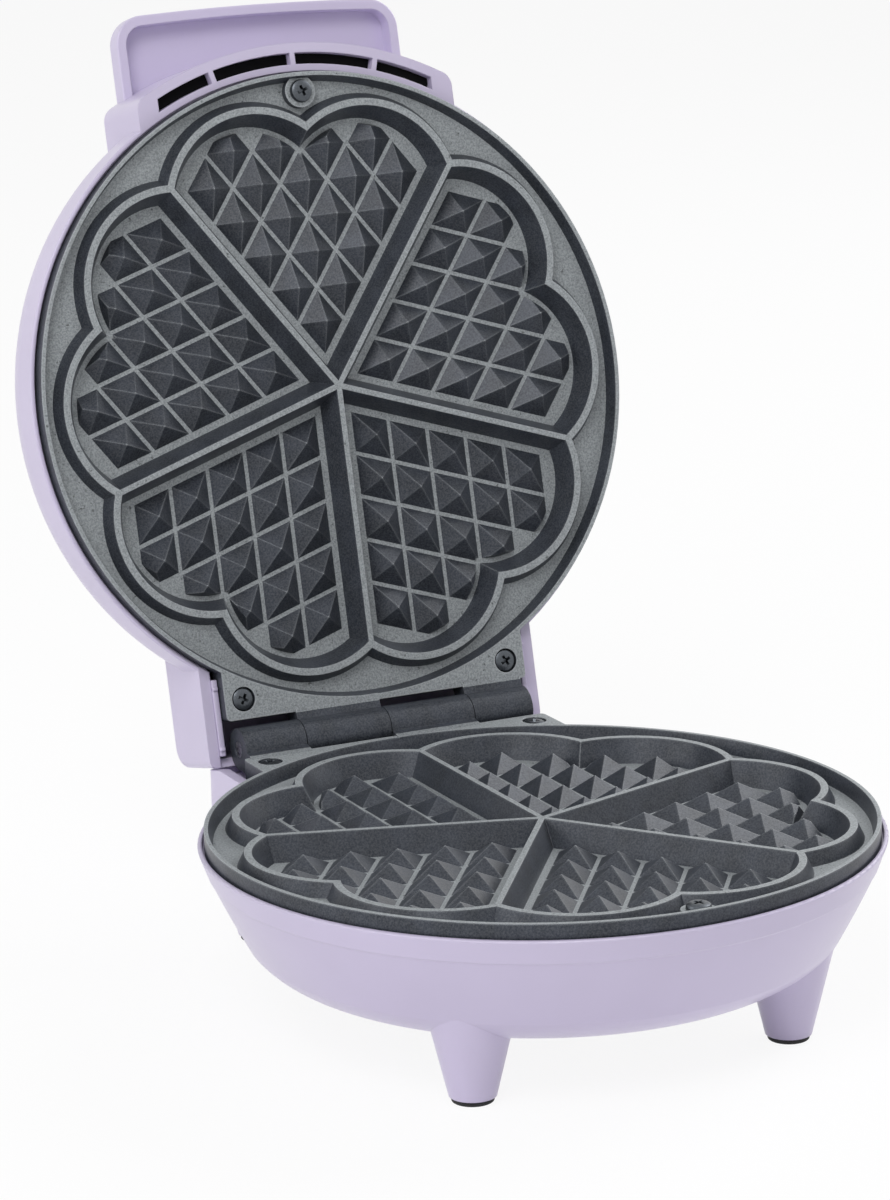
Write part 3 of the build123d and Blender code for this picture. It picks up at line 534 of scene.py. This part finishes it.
class WAFFLE_OT_screws(bpy.types.Operator):
    """Cross-recess screws that hold the two plates"""

    bl_idname = "waffle.screws"
    bl_label = "Plate screws"

    def execute(self, context):
        own = settings("screws")
        plated = metal("Steel, cold headed, dull plated", own.colour, 0.36, 0.5)
        flange_seat = -own.head_height
        # Place of the seat, angle at which the driver stopped, length below the seat
        places = {
            "front_screw": [(
                (0.0, -FRONT_SCREW_REACH, -own.front_seat), FRONT_SCREW_TURN,
                FRONT_SCREW_END - own.front_seat,
            )],
            "flange_screws": [
                (
                    (side * FLANGE_SCREW_SIDE, FLANGE_SCREW_REACH, flange_seat), turn,
                    FLANGE_SCREW_END + flange_seat,
                )
                for side, turn in zip((-1, 1), FLANGE_SCREW_TURNS)
            ],
        }
        for half, body in (("lower", "base"), ("upper", "lid")):
            for group, screws in places.items():
                node = half + "_" + group
                joined = bmesh.new()
                for place, turn, length in screws:
                    screw = plate_screw(own, length)
                    spot = Matrix.Translation(place) @ Matrix.Rotation(turn, 4, "Z")
                    screw.transform(half_frame(body) @ Matrix.Scale(MM, 4) @ spot)
                    data = bpy.data.meshes.new("screw")
                    screw.to_mesh(data)
                    screw.free()
                    joined.from_mesh(data)
                    bpy.data.meshes.remove(data)
                built = piece(node + "_detailed", joined, plated, body)
                smooth_by_angle(built, 30)
                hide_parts(node)
        return {"FINISHED"}


# Materials of the carried-over pieces


class WAFFLE_OT_shells(bpy.types.Operator):
    """Moulded shells, pads, gland and lenses"""

    bl_idname = "waffle.shells"
    bl_label = "Shells and trim"

    def execute(self, context):
        own = settings("shell")
        lilac = moulded_plastic("ABS, injection moulded, lilac", own.colour, own.roughness)
        black = moulded_plastic(
            "Nylon, injection moulded, black", linear("1B1B1E"), 0.45, 0.8, 0.01,
        )
        for node in ("base_shell", "lid_shell"):
            dress(node, lilac)
        for node in ("cord_gland", "gland_nut"):
            dress(node, black)
        dress("foot_pads", moulded_rubber("Rubber, moulded, black", own.pad_colour))
        dress("power_lens", tinted_lens("Acrylic, moulded, red", "B5241C"))
        dress("ready_lens", tinted_lens("Acrylic, moulded, green", "2F9A4A"))
        return {"FINISHED"}


class WAFFLE_OT_plates(bpy.types.Operator):
    """Coated castings and the hinge pin"""

    bl_idname = "waffle.plates"
    bl_label = "Plates"

    def execute(self, context):
        for half, body in (("lower", "base"), ("upper", "lid")):
            coat = coated_casting("Cast aluminium, non-stick coated, " + half, body)
            dress(half + "_plate", coat)
        dress("hinge_pin", metal("Steel, drawn and zinc plated", linear("B9BBBE"), 0.3))
        return {"FINISHED"}


class WAFFLE_OT_inside(bpy.types.Operator):
    """Heaters, shields and electrical parts inside the shells"""

    bl_idname = "waffle.inside"
    bl_label = "Inner parts"

    def execute(self, context):
        sheath = metal("Nickel alloy tube, drawn and annealed", linear("7F7A70"), 0.45)
        pressed = metal("Aluminised steel, pressed", linear("C3C5C7"), 0.35, 2.0)
        plated = metal("Steel, zinc plated", linear("B4B6B9"), 0.3)
        phenolic = moulded_plastic("Phenolic resin, compression moulded", linear("5B3A2A"), 0.4)
        natural = moulded_plastic("Polyamide, injection moulded, natural", linear("E6E0D2"), 0.45)
        for half in ("lower", "upper"):
            dress(half + "_heating_element", sheath)
            dress(half + "_heat_shield", pressed)
            dress(half + "_element_clamps", pressed)
            dress(half + "_clamp_screws", plated)
            dress(half + "_shield_screws", plated)
        dress("thermostat", phenolic)
        dress("thermal_fuse", plated)
        dress("fuse_clip", pressed)
        dress("terminal_block", natural)
        dress("lamp_holder", natural)
        dress("neon_lamps", tinted_lens("Glass, drawn tube", "F2D9C4"))
        return {"FINISHED"}


# Vent shade sheets, painted shade: near black pieces a little way inside the vent slots

# Near black sheets in the vent slots are painted shade; these give the sheets' size and the
# slots' layout
SHADE_SHEET_INNER, SHADE_SHEET_OUTER = 98.1, 101.4
SHADE_SHEET_TOP, SHADE_SHEET_BOTTOM = -7.2, -24.1
SHADE_SHEET_STEPS = 12
SLOT_MIDDLE = 99.75
SLOT_HALF_CHORD = 45.2
RIB_ANGLE = 15.6
HALF_RIB = 0.85
FRONT_ANGLE = -90


class WAFFLE_OT_vents(bpy.types.Operator):
    """Near black sheets a little way inside the four vent slots, as painted shade"""

    bl_idname = "waffle.vents"
    bl_label = "Vent shade sheets"

    def execute(self, context):
        # Painted shade: a near black sheet where the inside of each vent slot falls into shade
        dark = moulded_plastic(
            "Painted shade, near black, in the vent slots", linear("0C0C0D"), 0.85, specular=0.1,
        )
        rib = math.degrees(HALF_RIB / SLOT_MIDDLE)
        end = math.degrees(math.asin(SLOT_HALF_CHORD / SLOT_MIDDLE))
        spans = [
            (-end, -RIB_ANGLE - rib), (-RIB_ANGLE + rib, -rib),
            (rib, RIB_ANGLE - rib), (RIB_ANGLE + rib, end),
        ]
        section = (
            (SHADE_SHEET_INNER, SHADE_SHEET_TOP), (SHADE_SHEET_OUTER, SHADE_SHEET_TOP),
            (SHADE_SHEET_OUTER, SHADE_SHEET_BOTTOM), (SHADE_SHEET_INNER, SHADE_SHEET_BOTTOM),
        )
        for number, (start, stop) in enumerate(spans):
            bar = bmesh.new()
            rings = []
            for i in range(SHADE_SHEET_STEPS + 1):
                angle = math.radians(FRONT_ANGLE + start + (stop - start) * i / SHADE_SHEET_STEPS)
                across = Vector((math.cos(angle), math.sin(angle), 0))
                rings.append([
                    bar.verts.new(across * radius + Vector((0, 0, height)))
                    for radius, height in section
                ])
            for near, far in zip(rings, rings[1:]):
                for k in range(4):
                    bar.faces.new([near[k], far[k], far[(k + 1) % 4], near[(k + 1) % 4]])
            bar.faces.new(rings[0])
            bar.faces.new(rings[-1][::-1])
            bmesh.ops.recalc_face_normals(bar, faces=bar.faces)
            bar.transform(half_frame("lid") @ Matrix.Scale(MM, 4))
            piece("vent_shade_sheet_%d" % (number + 1), bar, dark, "lid")
        return {"FINISHED"}


# Tail ledges

LEDGE_NEAR, LEDGE_FAR = 50.25, 52.05
LEDGE_START, LEDGE_END = 83.0, 106.0
LEDGE_TOP, LEDGE_BOTTOM = -3.6, -7.5
LEDGE_RIBS = (85.1, 103.3)
LEDGE_RIB_WIDTH, LEDGE_RIB_SETBACK, LEDGE_RIB_RISE = 1.2, 0.2, 0.7
LEDGE_ROUND = 0.3


class WAFFLE_OT_strips(bpy.types.Operator):
    """Ledges between the lid's cheeks and the plate's flange, with two small ribs each"""

    bl_idname = "waffle.strips"
    bl_label = "Tail ledges"

    def execute(self, context):
        own = settings("shell")
        lilac = moulded_plastic(
            "ABS, injection moulded, lilac, ledge", own.colour, own.roughness,
        )
        blocks = [(LEDGE_NEAR, LEDGE_START, LEDGE_END, LEDGE_TOP)]
        blocks += [
            (LEDGE_NEAR + LEDGE_RIB_SETBACK, y, y + LEDGE_RIB_WIDTH, LEDGE_TOP + LEDGE_RIB_RISE)
            for y in LEDGE_RIBS
        ]
        for side, name in ((-1, "right"), (1, "left")):
            bar = bmesh.new()
            for near, start, end, top in blocks:
                spot = Matrix.Translation((
                    side * (near + LEDGE_FAR) / 2, (start + end) / 2, (top + LEDGE_BOTTOM) / 2,
                ))
                size = Matrix.Diagonal((LEDGE_FAR - near, end - start, top - LEDGE_BOTTOM, 1.0))
                made = bmesh.ops.create_cube(bar, size=1.0, matrix=spot @ size)
                edges = list({e for corner in made["verts"] for e in corner.link_edges})
                bmesh.ops.bevel(
                    bar, geom=edges, offset=LEDGE_ROUND, segments=3, profile=0.5, affect="EDGES",
                )
            bar.transform(half_frame("lid") @ Matrix.Scale(MM, 4))
            smooth_by_angle(piece("tail_ledge_" + name, bar, lilac, "lid"), 40)
        return {"FINISHED"}


# Studio, in metres where nothing else is said

AMBIENT = 0.35
BACKDROP_WHITE = 1.0
BACKDROP_SHARE = 0.9
FLOOR_HALF = 6.0
LIGHT_AIM = (0.0, 0.0, 0.1)
SENSOR_HEIGHT_MM = 24.0
FRAME_HEIGHT_PX = 1200
PRINCIPAL_RIGHT_PX, PRINCIPAL_DOWN_PX = 14.346, 18.038


def camera_axes(own):
    """Right, up and back directions of the reference view."""
    azimuth, elevation = own.azimuth, own.elevation
    back = Vector((
        math.sin(azimuth) * math.cos(elevation), -math.cos(azimuth) * math.cos(elevation),
        math.sin(elevation),
    ))
    right = Vector((math.cos(azimuth), math.sin(azimuth), 0))
    tilt = Matrix.Rotation(own.roll, 3, back)
    return tilt @ right, tilt @ back.cross(right), back


def softbox(name, power, size, place):
    """A square area lamp at a place, turned to the object."""
    lamp = bpy.data.lights.new(name, "AREA")
    lamp.energy = power
    lamp.size = size
    stand = bpy.data.objects.new(name, lamp)
    stand.location = place
    aim = Vector(LIGHT_AIM) - Vector(place)
    stand.rotation_euler = aim.to_track_quat("-Z", "Y").to_euler()
    bpy.context.scene.collection.objects.link(stand)


def shows_backdrop(tree):
    """1 for the rays that bring the white backdrop to the camera, also by metal or glass."""
    path = add(tree, "ShaderNodeLightPath").outputs
    shiny = add(
        tree, "ShaderNodeMath", {0: path["Is Glossy Ray"], 1: path["Is Transmission Ray"]},
        operation="MAXIMUM",
    ).outputs[0]
    return add(
        tree, "ShaderNodeMath", {0: path["Is Camera Ray"], 1: shiny}, operation="MAXIMUM",
    ).outputs[0]


class WAFFLE_OT_stage(bpy.types.Operator):
    """White sweep, soft lights and the camera"""

    bl_idname = "waffle.stage"
    bl_label = "Studio"

    def execute(self, context):
        own = settings("stage")
        scene = context.scene
        scene.view_settings.view_transform = "Standard"
        self.world(scene)
        self.floor(scene)
        softbox("front_softbox", own.front_power, 0.8, (-0.85, -0.85, 1.4))
        softbox("right_softbox", own.right_power, 1.2, (1.45, 0.25, 1.15))
        softbox("left_softbox", own.left_power, 1.0, (-1.5, 0.1, 0.55))
        self.camera(scene, own)
        return {"FINISHED"}

    def world(self, scene):
        """Soft light from all sides, seen as plain white."""
        sky = bpy.data.worlds.new("studio_white")
        sky.use_nodes = True
        tree = sky.node_tree
        tree.nodes.clear()
        white = linear("FFFFFF")
        dim = add(tree, "ShaderNodeBackground", {"Color": white, "Strength": AMBIENT})
        seen = add(tree, "ShaderNodeBackground", {"Color": white, "Strength": BACKDROP_WHITE})
        mix = add(
            tree, "ShaderNodeMixShader",
            {0: shows_backdrop(tree), 1: dim.outputs[0], 2: seen.outputs[0]},
        )
        add(tree, "ShaderNodeOutputWorld", {"Surface": mix.outputs[0]})
        scene.world = sky

    def floor(self, scene):
        """Matt white paper that keeps the object's shadow and is seen as near white."""
        sweep = bmesh.new()
        sweep.faces.new([
            sweep.verts.new((x * FLOOR_HALF, y * FLOOR_HALF, 0.0))
            for x, y in ((-1, -1), (1, -1), (1, 1), (-1, 1))
        ])
        data = bpy.data.meshes.new("floor")
        sweep.to_mesh(data)
        sweep.free()
        ground = bpy.data.objects.new("floor", data)
        scene.collection.objects.link(ground)
        made, tree = material("Paper, matt, white")
        paper = add(tree, "ShaderNodeBsdfDiffuse", {"Color": linear("FCFCFD")}).outputs[0]
        glow = add(
            tree, "ShaderNodeEmission", {"Color": linear("FFFFFF"), "Strength": BACKDROP_WHITE},
        ).outputs[0]
        seen = add(
            tree, "ShaderNodeMixShader", {0: BACKDROP_SHARE, 1: paper, 2: glow},
        ).outputs[0]
        mix = add(
            tree, "ShaderNodeMixShader", {0: shows_backdrop(tree), 1: paper, 2: seen},
        )
        add(tree, "ShaderNodeOutputMaterial", {"Surface": mix.outputs[0]})
        data.materials.append(made)

    def camera(self, scene, own):
        """The reference view, with the small shift of its principal point."""
        right, up, back = camera_axes(own)
        aim = PLATE_CENTRE + (right * own.aim_right + up * own.aim_up) * MM
        lens = bpy.data.cameras.new("reference_view")
        lens.sensor_fit = "VERTICAL"
        lens.sensor_height = SENSOR_HEIGHT_MM
        lens.lens = own.focal_length
        lens.shift_x = -PRINCIPAL_RIGHT_PX / FRAME_HEIGHT_PX
        lens.shift_y = PRINCIPAL_DOWN_PX / FRAME_HEIGHT_PX
        view = bpy.data.objects.new("reference_view", lens)
        turn = Matrix((right, up, back)).transposed().to_4x4()
        view.matrix_world = Matrix.Translation(aim + back * own.distance * MM) @ turn
        scene.collection.objects.link(view)
        scene.camera = view


class WAFFLE_PT_panel(bpy.types.Panel):
    """Lists the steps in the order in which they run"""

    bl_label = "Waffle Maker"
    bl_idname = "WAFFLE_PT_panel"
    bl_space_type = "VIEW_3D"
    bl_region_type = "UI"
    bl_category = "Waffle Maker"

    def draw(self, context):
        for step in STEPS:
            self.layout.operator(step.bl_idname)


STEPS = (
    WAFFLE_OT_stage, WAFFLE_OT_shells, WAFFLE_OT_plates, WAFFLE_OT_inside, WAFFLE_OT_screws,
    WAFFLE_OT_vents, WAFFLE_OT_strips,
)
GROUPS = {
    "shell": ShellSettings, "plate": PlateSettings, "screws": ScrewSettings,
    "stage": StageSettings,
}


def register():
    for kind in (*GROUPS.values(), *STEPS, WAFFLE_PT_panel):
        bpy.utils.register_class(kind)
    for name, group in GROUPS.items():
        setattr(bpy.types.Scene, "waffle_" + name, bpy.props.PointerProperty(type=group))


def unregister():
    for name in GROUPS:
        delattr(bpy.types.Scene, "waffle_" + name)
    for kind in (WAFFLE_PT_panel, *STEPS, *GROUPS.values()):
        bpy.utils.unregister_class(kind)


def main():
    register()
    for step in STEPS:
        group, name = step.bl_idname.split(".")
        getattr(getattr(bpy.ops, group), name)()


if __name__ == "__main__":
    main()
